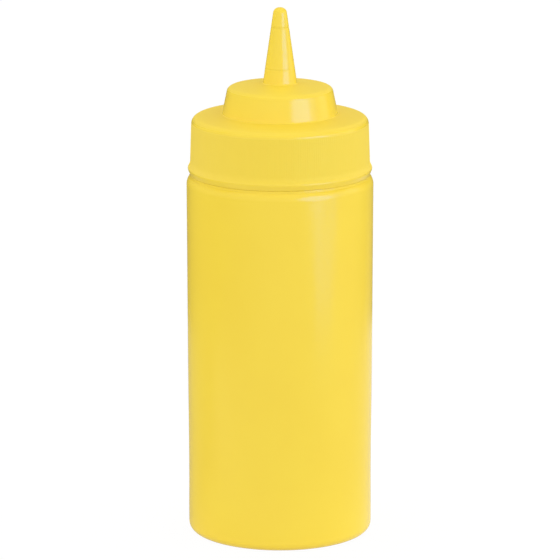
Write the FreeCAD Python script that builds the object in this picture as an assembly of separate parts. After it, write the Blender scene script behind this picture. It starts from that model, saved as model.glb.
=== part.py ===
import FreeCAD
import Part

import math
import os

# A squeeze bottle for sauces, standing upright with its cap screwed down. All sizes are in millimetres.
# Frame: +Z up, origin on the floor under the bottle's axis. Both pieces are turned about that axis.
#
# bottle  a closed, opaque bottle: shallow push-up base inside a standing ring, drafted wall, soft
#         shoulder with a low seat that the cap closes on, and a plain neck that the cap fits over
# cap     one moulding: skirt with a bead at its lower edge, sloping shelf, raised step and a
#         tapered nozzle with a closed, rounded tip and two fine trimming grooves

# ---- bottle
body_diameter = 69.9  # across the wall, measured at the height of the shoulder
wall_draft = 0.5  # how much further in the wall's foot lies
shoulder_height = 137.1  # from the floor to the top of the shoulder
shoulder_drop = 3.7  # height over which the shoulder turns in
shoulder_run = 2.6  # width over which the shoulder turns in
seat_height = 0.3  # how far the seat under the cap stands above the shoulder
seat_setback = 1.35  # how far the seat's edge lies inside the wall
neck_root_rounding = 0.4  # radius where the neck leaves the seat
neck_edge_rounding = 0.6  # radius at the neck's rim

# ---- base
foot_rounding = 3.1  # radius between the wall and the floor
ring_width = 2.6  # flat width of the ring that the bottle stands on
push_up_slope = 5.0  # width of the slope from the ring up to the flat middle
push_up_depth = 2.0  # how far the flat middle stands off the floor
push_up_rounding = 3.0  # radius at both ends of that slope

# ---- cap
skirt_setback = 1.35  # how far the skirt's foot lies inside the bottle's wall
skirt_draft = 0.55  # how much further in the skirt's upper edge lies
skirt_height = 21.35  # from the cap's lower edge to the skirt's upper edge
cap_wall = 2.0  # thickness of the skirt and of the plate above the neck
rim_rounding = 2.8  # radius of the skirt's upper edge
bead_top_height = 3.9  # from the cap's lower edge to where the bead leaves the skirt
bead_root_rounding = 4.2  # radius where the bead leaves the skirt
bead_height = 2.2  # from the cap's lower edge to the bead's widest place
bead_stand_out = 0.95  # how far the bead stands out from the skirt there, before it is rounded
bead_rounding = 1.15
lip_setback = 0.85  # how far the cap's lower edge lies inside the bead's widest place
lip_rounding = 0.2
shelf_rise = 1.3  # how much the shelf climbs from the skirt to the step
step_diameter = 43.2  # across the step where it leaves the shelf
step_draft = 2.1  # how much further in the step's upper edge lies
step_height = 10.0
step_drop = 1.4  # height over which the step's upper edge is rounded
step_run = 1.8  # width over which it is rounded
step_root_rounding = 0.7  # radius where the step leaves the shelf
top_rise = 1.5  # how much the step's top climbs to the nozzle

# ---- nozzle
nozzle_diameter = 12.7  # across the nozzle where it leaves the step
nozzle_height = 28.4
nozzle_root_rounding = 0.8
tip_diameter = 4.6  # across the tip if it weren't rounded
tip_drop = 1.9  # height over which the tip is rounded
tip_flat = 0.8  # width of the flat in the middle of the tip
groove_heights = (5.65, 21.0)  # of the trimming grooves, above the nozzle's foot
groove_depth = 0.14
groove_width = 0.36

# ---- fits
cap_gap = 0.05  # between the bottle's seat and the cap's lower edge
neck_clearance = 0.25  # around the neck, inside the cap

# ---- worked out from the above: radii
body_radius = body_diameter / 2
foot_radius = body_radius - wall_draft
ring_radius = foot_radius - foot_rounding - ring_width
push_up_radius = ring_radius - push_up_slope
seat_radius = body_radius - seat_setback
skirt_radius = body_radius - skirt_setback
rim_radius = skirt_radius - skirt_draft
socket_radius = rim_radius - cap_wall
neck_radius = socket_radius - neck_clearance
bead_radius = skirt_radius + bead_stand_out
lip_radius = bead_radius - lip_setback
step_radius = step_diameter / 2
nozzle_radius = nozzle_diameter / 2
tip_radius = tip_diameter / 2

# ---- worked out from the above: heights
seat_z = shoulder_height + seat_height
lip_z = seat_z + cap_gap
bead_z = lip_z + bead_height
bead_top_z = lip_z + bead_top_height
rim_z = lip_z + skirt_height
neck_top_z = rim_z - cap_wall
shelf_z = rim_z + shelf_rise
step_z = shelf_z + step_height
nozzle_z = step_z + top_rise
tip_z = nozzle_z + nozzle_height

upwards = FreeCAD.Vector(0, 0, 1)


def point(radius, height):
    """A point of an outline, which lies in the XZ plane."""
    return FreeCAD.Vector(radius, 0, height)


def corner_curve(start, corner, end):
    """The curve that rounds a corner: a circle's arc if both reaches are equal, or else an ellipse's."""
    reach_in, reach_out = (corner - start).Length, (end - corner).Length
    half_turn = (corner - start).getAngle(end - corner) / 2
    if math.isclose(reach_in, reach_out, rel_tol=1e-6):
        middle = (start + end) * 0.5
        radius = reach_in / math.tan(half_turn)
        bulge = radius * (1 - math.cos(half_turn))
        return Part.Arc(start, middle + (corner - middle).normalize() * bulge, end).toShape()
    conic = Part.BezierCurve()
    conic.setPoles([start, corner, end])
    conic.setWeight(2, math.cos(half_turn))
    return conic.toShape()


def turned_solid(corners):
    """The solid turned about the Z axis from a closed outline.

    Each corner is (radius, height, rounding). The rounding is 0 for a sharp corner, a radius for a
    round one, or (reach before, reach after) for one that turns over two unlike lengths.
    """
    points = [point(radius, height) for radius, height, _ in corners]
    spans = []
    for i, (_, _, wanted) in enumerate(corners):
        arriving = (points[i] - points[i - 1]).normalize()
        leaving = (points[(i + 1) % len(points)] - points[i]).normalize()
        if isinstance(wanted, tuple):
            reach_in, reach_out = wanted
        else:
            reach_in = reach_out = wanted * math.tan(arriving.getAngle(leaving) / 2)
        spans.append((points[i] - arriving * reach_in, points[i] + leaving * reach_out))
    edges = []
    for i, (start, end) in enumerate(spans):
        if not start.isEqual(end, 1e-7):
            edges.append(corner_curve(start, points[i], end))
        next_start = spans[(i + 1) % len(spans)][0]
        edges.append(Part.LineSegment(end, next_start).toShape())
    return Part.Face(Part.Wire(edges)).revolve(point(0, 0), upwards, 360)


def one_solid(shape):
    """The one solid in a shape, with faces that a cut has split joined up again."""
    solids = shape.removeSplitter().Solids
    assert len(solids) == 1, "a piece came apart"
    return solids[0]


def bottle():
    """Base, wall, shoulder and neck, solid because the bottle is shut and can't be seen into."""
    body = turned_solid(
        [
            (0, push_up_depth, 0),
            (push_up_radius, push_up_depth, push_up_rounding),
            (ring_radius, 0, push_up_rounding),
            (foot_radius, 0, foot_rounding),
            (body_radius, shoulder_height, (shoulder_drop, shoulder_run)),
            (0, shoulder_height, 0),
        ]
    )
    return one_solid(body.fuse(seat_and_neck()))


def seat_and_neck():
    """What the cap closes on and fits over, from well inside the shoulder up to the neck's rim."""
    return turned_solid(
        [
            (0, shoulder_height - shoulder_drop, 0),
            (seat_radius, shoulder_height - shoulder_drop, 0),
            (seat_radius, seat_z, 0),
            (neck_radius, seat_z, neck_root_rounding),
            (neck_radius, neck_top_z, neck_edge_rounding),
            (0, neck_top_z, 0),
        ]
    )


def moulding():
    """The cap without its grooves. The flat end of its socket rests on the neck's rim."""
    return turned_solid(
        [
            (0, neck_top_z, 0),
            (socket_radius, neck_top_z, 0),
            (socket_radius, lip_z, 0),
            (lip_radius, lip_z, lip_rounding),
            (bead_radius, bead_z, bead_rounding),
            (skirt_radius, bead_top_z, bead_root_rounding),
            (rim_radius, rim_z, rim_rounding),
            (step_radius, shelf_z, step_root_rounding),
            (step_radius - step_draft, step_z, (step_drop, step_run)),
            (nozzle_radius, nozzle_z, nozzle_root_rounding),
            (tip_radius, tip_z, (tip_drop, tip_radius - tip_flat / 2)),
            (0, tip_z, 0),
        ]
    )


def trimming_groove(height):
    """A fine V-shaped ring to cut from the nozzle, that far above the nozzle's foot."""
    surface_radius = nozzle_radius - (nozzle_radius - tip_radius) * height / nozzle_height
    outer_radius = surface_radius + groove_depth
    return turned_solid(
        [
            (surface_radius - groove_depth, nozzle_z + height, 0),
            (outer_radius, nozzle_z + height - groove_width, 0),
            (outer_radius, nozzle_z + height + groove_width, 0),
        ]
    )


def cap():
    """Skirt, bead, shelf, step and nozzle in one moulding that fits over the neck."""
    shape = moulding()
    for height in groove_heights:
        shape = shape.cut(trimming_groove(height))
    return one_solid(shape)


os.makedirs("parts", exist_ok=True)
for node, make in (("bottle", bottle), ("cap", cap)):
    solid = make()
    assert solid.isValid(), node + " isn't a valid solid"
    solid.exportStep("parts/" + node + ".step")
    box = solid.optimalBoundingBox()
    print(f"{node}: {solid.Volume / 1000:.1f} ml, {box.XLength:.1f} across, top at {box.ZMax:.1f}")
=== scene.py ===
import math

import bpy
import numpy as np
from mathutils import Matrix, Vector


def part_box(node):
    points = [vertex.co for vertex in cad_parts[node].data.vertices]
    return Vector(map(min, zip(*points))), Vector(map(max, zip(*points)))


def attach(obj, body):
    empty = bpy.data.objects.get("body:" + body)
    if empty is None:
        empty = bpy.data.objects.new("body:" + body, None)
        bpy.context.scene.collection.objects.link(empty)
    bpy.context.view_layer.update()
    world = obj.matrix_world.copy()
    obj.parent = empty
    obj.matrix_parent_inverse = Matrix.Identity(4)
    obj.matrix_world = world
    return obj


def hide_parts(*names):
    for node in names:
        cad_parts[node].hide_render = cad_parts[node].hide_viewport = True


# Squeeze bottle for sauce: a blown bottle and a moulded cap, both in yellow polyethylene.
# Metres, Z up. The solids of the frame give the places, and the two pieces made here take over from
# them with the finer things: ribs on the skirt, parting line, pinch-off seam and the uneven wall of a
# blown bottle.

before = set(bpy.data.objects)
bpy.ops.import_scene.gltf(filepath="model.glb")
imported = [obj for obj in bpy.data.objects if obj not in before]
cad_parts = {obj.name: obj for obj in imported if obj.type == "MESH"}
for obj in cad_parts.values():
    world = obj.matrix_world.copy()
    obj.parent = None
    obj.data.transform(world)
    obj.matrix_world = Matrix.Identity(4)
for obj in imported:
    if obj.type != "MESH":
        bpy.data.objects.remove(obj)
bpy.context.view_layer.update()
bottleLow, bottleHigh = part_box("bottle")
capLow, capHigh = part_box("cap")
mm = 0.001
print("frame: bottle to", round(bottleHigh.z, 4), "and cap to", round(capHigh.z, 4))


# ---- outlines: a chain of corners, each rounded or sharp, in radius and height


def cornerArc(before, corner, after, reachIn, reachOut, steps):
    # rational quadratic from the point reachIn before the corner to the one reachOut after it:
    # (a(1-t)^2 + 2wbt(1-t) + ct^2) / ((1-t)^2 + 2wt(1-t) + t^2) with w the cosine of half the turn,
    # which is a circle's arc when both reaches are equal and an ellipse's when they aren't
    arriving = (corner - before) / np.linalg.norm(corner - before)
    leaving = (after - corner) / np.linalg.norm(after - corner)
    start, end = corner - arriving * reachIn, corner + leaving * reachOut
    weight = math.sqrt((1 + float(arriving @ leaving)) / 2)
    t = np.linspace(0, 1, steps + 1)[:, None]
    middle = 2 * weight * t * (1 - t)
    total = (1 - t) ** 2 + middle + t**2
    return ((1 - t) ** 2 * start + middle * corner + t**2 * end) / total


def reachOf(before, corner, after, radius):
    # a circle of that radius touches both sides at radius times the tangent of half the turn
    arriving = (corner - before) / np.linalg.norm(corner - before)
    leaving = (after - corner) / np.linalg.norm(after - corner)
    return radius * math.tan(math.acos(np.clip(arriving @ leaving, -1, 1)) / 2)


def outline(corners):
    # corners are (radius, height, rounding, steps round it, steps along the straight that follows);
    # a rounding is 0, a radius, or (reach before, reach after). The straights get more points near
    # their ends, at (1 - cos(pi t)) / 2 of their length, so that smooth shading stays on the roundings
    points = [np.array(corner[:2], float) for corner in corners]
    stretches = []
    for i, (_, _, rounding, steps, _) in enumerate(corners):
        if not rounding:
            stretches.append(points[i][None, :])
            continue
        neighbours = points[i - 1], points[i], points[i + 1]
        reaches = rounding if isinstance(rounding, tuple) else (reachOf(*neighbours, rounding),) * 2
        stretches.append(cornerArc(*neighbours, *reaches, steps))
    chain = []
    for i, stretch in enumerate(stretches):
        chain.append(stretch)
        along = corners[i][4]
        if along > 1 and i + 1 < len(stretches):
            t = (1 - np.cos(np.pi * np.arange(1, along) / along))[:, None] / 2
            chain.append(stretch[-1] * (1 - t) + stretches[i + 1][0] * t)
    return np.concatenate(chain)


# ---- meshes: rings of points about the Z axis, joined by quads, by fans where their count changes


def turned(chain, columns):
    # x = r cos(angle), y = r sin(angle), z = height, for every outline point and every column
    angle = np.linspace(0, 2 * np.pi, columns, endpoint=False)
    radius, height = chain[:, :1], chain[:, 1:]
    return np.stack([radius * np.cos(angle), radius * np.sin(angle), height + 0 * angle], axis=-1)


def quadsBetween(rows, columns, first):
    # every ring point with its neighbour and the two points above them
    row, column = np.meshgrid(np.arange(rows - 1), np.arange(columns), indexing="ij")
    low, lowNext = first + row * columns + column, first + row * columns + (column + 1) % columns
    return np.stack([low, lowNext, lowNext + columns, low + columns], axis=-1).reshape(-1, 4)


def fanBetween(fineFirst, fineCount, coarseFirst, coarseCount):
    # each coarse edge takes the fine edges below it: the first half of them fans from its left end,
    # the rest from its right end, and one triangle closes the gap in the middle
    share = fineCount // coarseCount
    fine = np.arange(fineCount)
    owner = fine // share + (fine % share >= share // 2)
    edges = np.stack(
        [fineFirst + fine, fineFirst + (fine + 1) % fineCount, coarseFirst + owner % coarseCount], axis=-1
    )
    coarse = np.arange(coarseCount)
    below = fineFirst + coarse * share + share // 2
    middle = np.stack([coarseFirst + coarse, below, coarseFirst + (coarse + 1) % coarseCount], axis=-1)
    return np.concatenate([edges, middle])


def poleFan(pole, ringFirst, count, closesTop):
    # triangles from the point on the axis to each edge of its ring
    ring = ringFirst + np.arange(count)
    following = ringFirst + (np.arange(count) + 1) % count
    sides = (ring, following) if closesTop else (following, ring)
    return np.stack([*sides, np.full(count, pole)], axis=-1)


def meshPiece(name, points, faceSets, material):
    # whole arrays go straight into the mesh; every face is smooth
    mesh = bpy.data.meshes.new(name)
    loops = np.concatenate([faces.ravel() for faces in faceSets])
    sizes = np.concatenate([np.full(len(faces), faces.shape[1]) for faces in faceSets])
    mesh.vertices.add(len(points))
    mesh.vertices.foreach_set("co", points.astype(np.float32).ravel())
    mesh.loops.add(len(loops))
    mesh.loops.foreach_set("vertex_index", loops.astype(np.int32))
    mesh.polygons.add(len(sizes))
    mesh.polygons.foreach_set("loop_start", (np.cumsum(sizes) - sizes).astype(np.int32))
    mesh.polygons.foreach_set("use_smooth", np.ones(len(sizes), bool))
    mesh.update(calc_edges=True)
    mesh.validate()
    mesh.materials.append(material)
    piece = bpy.data.objects.new(name, mesh)
    bpy.context.scene.collection.objects.link(piece)
    print(name, "has", len(points), "points and", len(sizes), "faces")
    return piece


# ---- materials: arithmetic on a wire adds Math nodes, and every other node comes from board.node


class Wire:
    # one output socket of a node, usable as a number in an expression
    def __init__(self, board, socket):
        self.board = board
        self.socket = socket

    def combine(self, operation, first, second):
        return self.board.node("ShaderNodeMath", {"operation": operation}, {0: first, 1: second})

    def __add__(self, other):
        return self.combine("ADD", self, other)

    def __radd__(self, other):
        return self.combine("ADD", other, self)

    def __sub__(self, other):
        return self.combine("SUBTRACT", self, other)

    def __rsub__(self, other):
        return self.combine("SUBTRACT", other, self)

    def __mul__(self, other):
        return self.combine("MULTIPLY", self, other)

    def __rmul__(self, other):
        return self.combine("MULTIPLY", other, self)


class Board:
    # the node tree of a material or of the world, emptied first
    def __init__(self, tree):
        self.tree = tree
        tree.nodes.clear()

    def node(self, kind, settings=None, inputs=None, output=0):
        made = self.tree.nodes.new(kind)
        for key, value in (settings or {}).items():
            setattr(made, key, value)
        for key, value in (inputs or {}).items():
            if isinstance(value, Wire):
                self.tree.links.new(value.socket, made.inputs[key])
            else:
                made.inputs[key].default_value = value
        return Wire(self, made.outputs[output]) if made.outputs else None


def newBoard(name):
    material = bpy.data.materials.new(name)
    material.use_nodes = True
    return material, Board(material.node_tree)


def noise(board, place, scale, detail=2.0, stretch=(1, 1, 1)):
    # a noise between about 0.3 and 0.7, in features of 1 / scale metres
    mapped = board.node("ShaderNodeMapping", {}, {"Vector": place, "Scale": stretch})
    return board.node(
        "ShaderNodeTexNoise", {"noise_dimensions": "3D"}, {"Vector": mapped, "Scale": scale, "Detail": detail}
    )


def between(board, value, low, high):
    # 0 below low, 1 above high and a smooth step between them
    return board.node(
        "ShaderNodeMapRange",
        {"interpolation_type": "SMOOTHSTEP"},
        {"Value": value, "From Min": low, "From Max": high},
    )


def blended(board, look, factor):
    # from the shade at 0 to the colour at 1
    return board.node(
        "ShaderNodeMix", {"data_type": "RGBA"}, {"Factor": factor, 6: look["shade"], 7: look["colour"]}, 2
    )


def finishPlastic(board, look, place, colour, roughness):
    # one gloss layer over the colour, with a faint orange peel
    peel = noise(board, place, look["peelScale"], 2)
    relief = {"Strength": look["peelStrength"], "Distance": look["peelHeight"], "Height": peel}
    normal = board.node("ShaderNodeBump", {}, relief)
    shader = board.node(
        "ShaderNodeBsdfPrincipled",
        {},
        {"Base Color": colour, "Roughness": roughness, "Normal": normal, "IOR": plasticIndex},
    )
    board.node("ShaderNodeOutputMaterial", {}, {"Surface": shader})


# ---- bottle

plasticIndex = 1.51  # of polyethylene
mottleSpan = (0.3, 0.7)

bottleLook = {
    "poleRadius": 2 * mm,
    "wallDraft": 0.5 * mm,
    "shoulderHeight": 137.1 * mm,
    "shoulderDrop": 3.7 * mm,
    "shoulderRun": 2.6 * mm,
    "seatHeight": 0.3 * mm,
    "seatSetback": 1.35 * mm,
    "neckRadius": 30.8 * mm,
    "footRounding": 3.1 * mm,
    "ringWidth": 2.6 * mm,
    "pushUpSlope": 5.0 * mm,
    "pushUpDepth": 2.0 * mm,
    "pushUpRounding": 3.0 * mm,
    "columns": 480,
    "wallBow": 0.13 * mm,  # how far the wall draws in low down
    "bowHeight": 30 * mm,
    "bowReach": 18 * mm,
    "unevenness": 0.03 * mm,  # how far the blown wall strays inwards elsewhere
    "partingHeight": 0.04 * mm,
    "pinchHeight": 0.15 * mm,
    "pinchWidth": 0.7 * mm,
    "seatRounding": 0.08 * mm,
    "neckRootRounding": 0.4 * mm,
    "neckRimRounding": 0.6 * mm,
    "calmFoot": 6 * mm,  # the wall is even below this, and this far below the shoulder
    "calmShoulder": 5 * mm,
    "calmFade": 12 * mm,
    "waves": ((2, 34, 0.7), (5, -61, 2.1), (9, 118, 4.0), (3, 205, 1.3)),  # round, up, start
    "colour": (0.90, 0.665, 0.045, 1),
    "shade": (0.89, 0.65, 0.043, 1),
    "mottleScale": 45,
    "roughness": 0.225,
    "streakScale": 260,
    "streakStretch": 0.08,
    "streakDepth": 0.07,
    "peelScale": 420,
    "peelStrength": 0.25,
    "peelHeight": 0.02 * mm,
}


def bottleMaterial(look):
    material, board = newBoard("bottlePlastic")
    place = board.node("ShaderNodeTexCoord", {}, {}, "Object")
    mottle = noise(board, place, look["mottleScale"], 3)
    colour = blended(board, look, between(board, mottle, *mottleSpan))
    streaks = noise(board, place, look["streakScale"], 2, (1, 1, look["streakStretch"]))
    roughness = look["roughness"] + (streaks - 0.5) * look["streakDepth"]
    finishPlastic(board, look, place, colour, roughness)
    return material


def makeBottle(look):
    parting = look["partingHeight"]
    body = bottleHigh.x
    wall = body - parting
    foot = wall - look["wallDraft"]
    ring = foot - look["footRounding"] - look["ringWidth"]
    shoulder = look["shoulderHeight"]
    seat, seatTop = body - look["seatSetback"], shoulder + look["seatHeight"]
    shell = outline(
        [
            (look["poleRadius"], look["pushUpDepth"], 0, 0, 14),
            (ring - look["pushUpSlope"], look["pushUpDepth"], look["pushUpRounding"], 8, 3),
            (ring, 0, look["pushUpRounding"], 8, 4),
            (foot, 0, look["footRounding"], 14, 60),
            (wall, shoulder, (look["shoulderDrop"], look["shoulderRun"]), 24, 0),
            (seat - look["shoulderRun"], shoulder, 0, 0, 0),
        ]
    )
    # the shoulder ends where the seat's edge stands on it
    insideSeat = (shell[:, 0] < seat) & (shell[:, 1] > shoulder - look["shoulderDrop"])
    shell = shell[~insideSeat]
    t = (seat - (wall - look["shoulderRun"])) / look["shoulderRun"]
    seatFoot = shoulder - look["shoulderDrop"] * (1 - math.sqrt(1 - t * t))
    neck = outline(
        [
            (seat, seatFoot, 0, 0, 4),
            (seat, seatTop, look["seatRounding"], 4, 4),
            (look["neckRadius"], seatTop, look["neckRootRounding"], 5, 5),
            (look["neckRadius"], bottleHigh.z, look["neckRimRounding"], 5, 4),
            (look["poleRadius"], bottleHigh.z, 0, 0, 0),
        ]
    )
    chain = np.concatenate([shell, neck])
    columns = look["columns"]
    points = turned(chain, columns)
    x, y, z = points[..., 0], points[..., 1], points[..., 2]
    angle = np.arctan2(y, x)
    radius = np.hypot(x, y)
    # the wall strays inwards by a sum of slow waves round and up it, all of it between foot and shoulder
    rise = np.clip((z - look["calmFoot"]) / look["calmFade"], 0, 1)
    rise = rise * np.clip((shoulder - look["calmShoulder"] - z) / look["calmFade"], 0, 1)
    rise = rise * rise * (3 - 2 * rise)
    waves = sum(np.sin(turns * angle + climb * z + start) for turns, climb, start in look["waves"])
    waves = waves / (2 * len(look["waves"])) + 0.5
    bow = look["wallBow"] * np.exp(-(((z - look["bowHeight"]) / look["bowReach"]) ** 2))
    inwards = rise * (look["unevenness"] * waves + bow)
    # the parting line stands out on two opposite sides, one column wide
    line = np.zeros(columns)
    line[[0, columns // 2]] = parting
    outwards = line * (z > 1 * mm) * (radius > ring) * (z < shoulder - 0.5 * mm) * (radius > seat)
    scale = 1 + (outwards - inwards) / radius
    points[..., 0], points[..., 1] = x * scale, y * scale
    # the pinch-off seam runs straight across the push-up, its height falling off as 1 - |y| / width
    seam = np.clip(1 - np.abs(y) / look["pinchWidth"], 0, 1) * (z > 0.5 * mm) * (z < 3 * mm) * (radius < ring)
    points[..., 2] = z - look["pinchHeight"] * seam
    rows = len(chain)
    flat = points.reshape(-1, 3)
    poles = np.array([[0, 0, look["pushUpDepth"] - look["pinchHeight"]], [0, 0, bottleHigh.z]])
    faceSets = [
        quadsBetween(rows, columns, 0),
        poleFan(len(flat), 0, columns, False),
        poleFan(len(flat) + 1, (rows - 1) * columns, columns, True),
    ]
    return meshPiece("blownBottle", np.concatenate([flat, poles]), faceSets, bottleMaterial(look))


blownBottle = makeBottle(bottleLook)
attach(blownBottle, "root")
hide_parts("bottle")


# ---- cap

capLook = {
    "skirtSetback": 1.35 * mm,
    "skirtDraft": 0.55 * mm,
    "skirtHeight": 21.35 * mm,
    "wall": 2.0 * mm,
    "rimRounding": 2.8 * mm,
    "beadTopHeight": 3.9 * mm,
    "beadRootRounding": 4.2 * mm,
    "beadHeight": 2.2 * mm,
    "beadStandOut": 0.95 * mm,
    "beadRounding": 1.15 * mm,
    "lipSetback": 0.85 * mm,
    "lipRounding": 0.2 * mm,
    "shelfRise": 1.3 * mm,
    "stepRadius": 21.6 * mm,
    "stepDraft": 2.1 * mm,
    "stepHeight": 10.0 * mm,
    "stepDrop": 1.4 * mm,
    "stepRun": 1.8 * mm,
    "stepRootRounding": 0.7 * mm,
    "topRise": 1.5 * mm,
    "nozzleRadius": 6.35 * mm,
    "nozzleRootRounding": 0.8 * mm,
    "tipRadius": 2.3 * mm,
    "tipDrop": 1.9 * mm,
    "tipFlat": 0.4 * mm,
    "grooveHeights": (5.65 * mm, 21.0 * mm),
    "grooveDepth": 0.14 * mm,
    "grooveReach": 0.18 * mm,
    "ribs": 240,
    "ribDepth": 0.07 * mm,
    "ribFade": 0.8 * mm,
    "ribStart": 0.25 * mm,  # above the bead
    "ribEnd": 0.7 * mm,  # above the foot of the rim's rounding
    "tipPole": 0.1 * mm,
    "colour": (0.90, 0.665, 0.045, 1),
    # the second colour, darker and a little bluer: mixed in at random for mottle, and alone in the ribbed
    # band as painted shade of the grooves between the ribs with a painted faint sheen
    "shade": (0.87, 0.645, 0.048, 1),
    "roughness": 0.22,
    "ribRoughness": 0.6,
    "flatRoughness": 0.55,
    "flatSpan": (0.45, 0.9),  # how far a face points up, from glossy to satin
    "matteFade": 0.35 * mm,
    "mottleScale": 60,
    "leastBright": 0.6,
    "cloudScale": 300,
    "cloudDepth": 0.06,
    "peelScale": 700,
    "peelStrength": 0.2,
    "peelHeight": 0.01 * mm,
}


def capMaterial(look, ribLow, ribHigh):
    material, board = newBoard("capPlastic")
    place = board.node("ShaderNodeTexCoord", {}, {}, "Object")
    height = board.node("ShaderNodeSeparateXYZ", {}, {"Vector": place}, "Z")
    fade = look["matteFade"]
    above = between(board, height, ribHigh - fade, ribHigh + fade)
    ribbed = between(board, height, ribLow - fade, ribLow + fade) * (1 - above)
    mottle = between(board, noise(board, place, look["mottleScale"], 3), *mottleSpan)
    # mottle takes a random share of the colour; the ribbed band takes the second colour alone, painted shade
    # between the ribs with a painted faint sheen in its bluer blue
    mottleAndRibShade = (look["leastBright"] + mottle * (1 - look["leastBright"])) * (1 - ribbed)
    colour = blended(board, look, mottleAndRibShade)
    cloud = noise(board, place, look["cloudScale"], 2)
    facing = board.node("ShaderNodeNewGeometry", {}, {}, "Normal")
    upward = board.node("ShaderNodeSeparateXYZ", {}, {"Vector": facing}, "Z")
    flat = between(board, upward, *look["flatSpan"])
    roughness = look["roughness"] + (cloud - 0.5) * look["cloudDepth"]
    roughness = roughness + ribbed * (look["ribRoughness"] - look["roughness"])
    roughness = roughness + flat * (look["flatRoughness"] - look["roughness"])
    finishPlastic(board, look, place, colour, roughness)
    return material


def makeCap(look):
    skirt = bottleHigh.x - look["skirtSetback"]
    rim = skirt - look["skirtDraft"]
    socket = rim - look["wall"]
    bead = skirt + look["beadStandOut"]
    lipZ = capLow.z
    beadTopZ = lipZ + look["beadTopHeight"]
    rimZ = lipZ + look["skirtHeight"]
    shelfZ = rimZ + look["shelfRise"]
    stepZ = shelfZ + look["stepHeight"]
    nozzleZ = stepZ + look["topRise"]
    step, nozzle, tip = look["stepRadius"], look["nozzleRadius"], look["tipRadius"]
    chain = outline(
        [
            (bottleLook["poleRadius"], bottleHigh.z, 0, 0, 0),
            (socket, bottleHigh.z, 0, 0, 0),
            (socket, lipZ, 0, 0, 3),
            (bead - look["lipSetback"], lipZ, look["lipRounding"], 6, 3),
            (bead, lipZ + look["beadHeight"], look["beadRounding"], 12, 3),
            (skirt, beadTopZ, look["beadRootRounding"], 10, 16),
            (rim, rimZ, look["rimRounding"], 14, 6),
            (step, shelfZ, look["stepRootRounding"], 6, 6),
            (step - look["stepDraft"], stepZ, (look["stepDrop"], look["stepRun"]), 12, 6),
            (nozzle, nozzleZ, look["nozzleRootRounding"], 10, 40),
            (tip, capHigh.z, (look["tipDrop"], tip - look["tipFlat"]), 12, 2),
            (look["tipPole"], capHigh.z, 0, 0, 0),
        ]
    )
    # trimming grooves: three more rows each, the middle one lower by the groove's depth
    taper = (nozzle - tip) / (capHigh.z - nozzleZ)
    for grooveHeight in look["grooveHeights"]:
        z = nozzleZ + grooveHeight + np.array([-1, 0, 1]) * look["grooveReach"]
        r = nozzle - taper * (z - nozzleZ) - np.array([0, 1, 0]) * look["grooveDepth"]
        kept = (chain[:, 1] < z[0] - 0.1 * mm) | (chain[:, 1] > z[2] + 0.1 * mm)
        before = chain[kept & (chain[:, 1] < z[0])]
        chain = np.concatenate([before, np.stack([r, z], axis=1), chain[kept & (chain[:, 1] > z[0])]])

    # fine rings up to the middle of the shelf carry the ribs, coarse ones the step and the nozzle
    fineColumns, coarseColumns = look["ribs"] * 4, look["ribs"]
    split = int(np.argmax((chain[:, 0] < (rim + step) / 2) & (chain[:, 1] > rimZ)))
    fine = turned(chain[:split], fineColumns)
    coarse = turned(chain[split:], coarseColumns)
    x, y, z = fine[..., 0], fine[..., 1], fine[..., 2]
    radius, angle = np.hypot(x, y), np.arctan2(y, x)
    ribLow = lipZ + look["beadHeight"] + look["ribStart"]
    ribHigh = rimZ - look["rimRounding"] + look["ribEnd"]
    fade = np.clip((z - ribLow) / look["ribFade"], 0, 1) * np.clip((ribHigh - z) / look["ribFade"], 0, 1)
    fade = fade * (radius > socket + 0.5 * mm)
    relief = look["ribDepth"] * fade * (0.5 - 0.5 * np.cos(look["ribs"] * angle))
    scale = 1 - relief / radius
    fine[..., 0], fine[..., 1] = x * scale, y * scale

    fineCount, coarseCount = fine.shape[0] * fineColumns, coarse.shape[0] * coarseColumns
    points = np.concatenate(
        [fine.reshape(-1, 3), coarse.reshape(-1, 3), [[0, 0, bottleHigh.z], [0, 0, capHigh.z]]]
    )
    faceSets = [
        quadsBetween(fine.shape[0], fineColumns, 0),
        fanBetween(fineCount - fineColumns, fineColumns, fineCount, coarseColumns),
        quadsBetween(coarse.shape[0], coarseColumns, fineCount),
        poleFan(fineCount + coarseCount, 0, fineColumns, False),
        poleFan(fineCount + coarseCount + 1, fineCount + coarseCount - coarseColumns, coarseColumns, True),
    ]
    return meshPiece("mouldedCap", points, faceSets, capMaterial(look, ribLow, ribHigh))


mouldedCap = makeCap(capLook)
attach(mouldedCap, "root")
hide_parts("cap")


# ---- stage: floor, world, glowing cards and camera

stageLook = {
    "floorSize": 12.0,
    "floorPaper": (0.6, 0.6, 0.6, 1),
    "floorWhite": 0.93,
    "footGlow": 0.25,
    "glowReach": (0.02, 0.09),
    "whiteLevel": 1.03,
    "leftShade": 0.7,  # how much dimmer the floor is in reflections, on either side of the object
    "rightShade": 0.3,
    "shadeCross": 0.05,
    "shadeStart": (-0.08, 0.02),
    "shadeReach": (0.3, 0.6),
    "overhead": (0.97, 0.05, 0.30, 0),  # the world's light from above: level, more to the right, to the
    "around": (1.77, 0.15, 0.2, 0.25),  # back and to both sides than front and back; and the same low down
    "cameraPlace": (0, -1.7, 0.491),
    "cameraPitch": 13.07,
    "lens": 298.8,
}

# the softbox and the cards that only reflections see, all well away from the object
grey, cool = (1, 1, 1), (0.08, 0.32, 1.0)
softbox = {"azimuth": 43.0, "distance": 0.36, "height": 0.2, "size": 0.27, "colour": cool, "level": 7.0}
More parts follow.
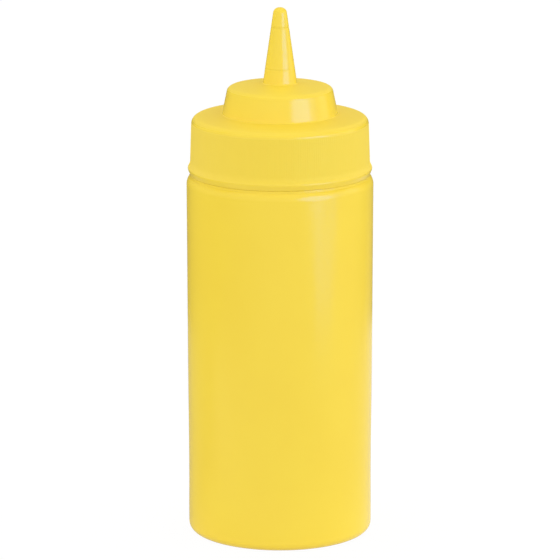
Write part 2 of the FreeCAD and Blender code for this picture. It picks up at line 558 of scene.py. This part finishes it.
# name, azimuths, (distance, height) of either edge, colour, levels at its ends, those of the outer edge
cards = [
    ("softboxSpill", (42, 64), (0.35, 0.01), (0.35, 0.06), cool, (3.2, 2.8), None),
    ("softboxSide", (62, 86), (0.355, 0.04), (0.355, 0.32), cool, (3.2, 0.3), None),
    ("rightFade", (70, 125), (0.32, 0.004), (0.32, 0.16), grey, (1, 0.15), None),
    ("backFlagLow", (125, 215), (0.33, 0.004), (0.33, 0.16), grey, (0.3, 0.15), (0.1, 0.1)),
    ("backFlagHigh", (110, 250), (0.34, 0.16), (0.34, 0.34), grey, (0.03, 0.03), None),
    ("highFlag", (75, 285), (0.34, 0.34), (0.34, 1.2), grey, (0.03, 0.03), None),
    ("leftFlag", (215, 280), (0.33, 0.001), (0.33, 0.34), grey, (0.1, 0.3), None),
    ("leftFade", (280, 350), (0.33, 0.001), (0.33, 0.34), grey, (0.3, 1), None),
]


def lookedAt(board):
    # 1 for what the camera sees, straight or through a reflection or glass
    straight = board.node("ShaderNodeLightPath", {}, {}, "Is Camera Ray")
    mirrored = board.node("ShaderNodeLightPath", {}, {}, "Is Glossy Ray")
    through = board.node("ShaderNodeLightPath", {}, {}, "Is Transmission Ray")
    return straight + mirrored + through


def stagePiece(name, points, faces, material):
    mesh = bpy.data.meshes.new(name)
    mesh.from_pydata(points, [], faces)
    mesh.materials.append(material)
    piece = bpy.data.objects.new(name, mesh)
    bpy.context.scene.collection.objects.link(piece)
    return piece


def makeFloor(look):
    # grey paper that lights the object from below, with a glow round the foot, and nearly white where
    # it is looked at; in reflections it is dimmer beside and behind the object
    half = look["floorSize"] / 2
    corners = [(-half, -half, 0), (half, -half, 0), (half, half, 0), (-half, half, 0)]
    material, board = newBoard("floorPaper")
    place = board.node("ShaderNodeTexCoord", {}, {}, "Object")
    away = board.node("ShaderNodeVectorMath", {"operation": "LENGTH"}, {0: place}, "Value")
    nearness = 1 - between(board, away, *look["glowReach"])
    paper = board.node("ShaderNodeBsdfDiffuse", {}, {"Color": look["floorPaper"]})
    glow = nearness * look["footGlow"]
    fill = board.node("ShaderNodeEmission", {}, {"Color": (1, 1, 1, 1), "Strength": glow})
    lit = board.node("ShaderNodeAddShader", {}, {0: paper, 1: fill})
    mirrored = board.node("ShaderNodeLightPath", {}, {}, "Is Glossy Ray")
    x, y = (board.node("ShaderNodeSeparateXYZ", {}, {"Vector": place}, axis) for axis in "XY")
    beside = between(board, y, *look["shadeStart"]) * (1 - between(board, away, *look["shadeReach"]))
    rightwards = between(board, x, -look["shadeCross"], look["shadeCross"])
    dimmed = look["leftShade"] + rightwards * (look["rightShade"] - look["leftShade"])
    strength = look["whiteLevel"] - mirrored * beside * dimmed
    white = board.node("ShaderNodeEmission", {}, {"Color": (1, 1, 1, 1), "Strength": strength})
    shown = board.node("ShaderNodeMixShader", {}, {0: look["floorWhite"], 1: paper, 2: white})
    surface = board.node("ShaderNodeMixShader", {}, {0: lookedAt(board), 1: lit, 2: shown})
    board.node("ShaderNodeOutputMaterial", {}, {"Surface": surface})
    return stagePiece("floor", corners, [(0, 1, 2, 3)], material)


def makeWorld(look):
    # white where it is looked at; as light it is brightest low down, to the right and at the back
    world = bpy.data.worlds.new("studio")
    world.use_nodes = True
    bpy.context.scene.world = world
    board = Board(world.node_tree)
    towards = board.node("ShaderNodeTexCoord", {}, {}, "Generated")
    x, y, z = (board.node("ShaderNodeSeparateXYZ", {}, {"Vector": towards}, axis) for axis in "XYZ")
    above, around = (
        level + x * right + y * back + (x * x - y * y) * sides
        for level, right, back, sides in (look["overhead"], look["around"])
    )
    light = around + between(board, z, 0.35, 0.75) * (above - around)
    strength = light + lookedAt(board) * (1 - light)
    white = board.node("ShaderNodeBackground", {}, {"Color": (1, 1, 1, 1), "Strength": strength})
    board.node("ShaderNodeOutputWorld", {}, {"Surface": white})


def glowing(name, points, faces, colour, levels):
    # a sheet that only the gloss sees, its strength given at each point
    material, board = newBoard(name)
    material.cycles.emission_sampling = "NONE"
    level = board.node("ShaderNodeAttribute", {"attribute_name": "level"}, {}, "Fac")
    shine = board.node("ShaderNodeEmission", {}, {"Color": (*colour, 1), "Strength": level})
    board.node("ShaderNodeOutputMaterial", {}, {"Surface": shine})
    sheet = stagePiece(name, points, faces, material)
    stored = sheet.data.attributes.new("level", "FLOAT", "POINT")
    stored.data.foreach_set("value", levels)
    for kind in ("camera", "diffuse", "transmission", "volume_scatter", "shadow"):
        setattr(sheet, "visible_" + kind, False)


def reflectionCard(name, azimuths, inner, outer, colour, levels, outerLevels):
    # a card bent round the object from one distance and height to another; azimuth 0 is the camera's
    # side, 90 the right, and the level runs evenly from end to end and from edge to edge
    angle = np.radians(np.linspace(*azimuths, 25))
    points = [
        (distance * math.sin(a), -distance * math.cos(a), z) for distance, z in (inner, outer) for a in angle
    ]
    faces = [(i, i + 1, i + 26, i + 25) for i in range(24)]
    edges = [np.linspace(*ends, 25) for ends in (levels, outerLevels or levels)]
    glowing(name, points, faces, colour, np.concatenate(edges))


def roundCard(name, azimuth, distance, height, size, colour, level):
    # an upright round softbox that faces the object, its direction counted as for the cards
    turn = np.linspace(0, 2 * math.pi, 48, endpoint=False)
    across, up = np.cos(turn) * size / 2, np.sin(turn) * size / 2
    a = math.radians(azimuth)
    points = np.stack([
        math.sin(a) * distance + math.cos(a) * across,
        -math.cos(a) * distance + math.sin(a) * across,
        height + up,
    ], axis=-1)
    glowing(name, points, [tuple(range(48))], colour, np.full(48, level))


def makeCamera(look):
    data = bpy.data.cameras.new("camera")
    data.lens = look["lens"]
    data.sensor_width = 36
    data.clip_start, data.clip_end = 0.1, 50
    camera = bpy.data.objects.new("camera", data)
    camera.location = look["cameraPlace"]
    camera.rotation_euler = (math.radians(90 - look["cameraPitch"]), 0, 0)
    bpy.context.scene.collection.objects.link(camera)
    bpy.context.scene.camera = camera


makeFloor(stageLook)
makeWorld(stageLook)
roundCard("softbox", **softbox)
for card in cards:
    reflectionCard(*card)
print("stage has", len(cards) + 1, "glowing cards")
makeCamera(stageLook)
bpy.context.scene.view_settings.view_transform = "Standard"
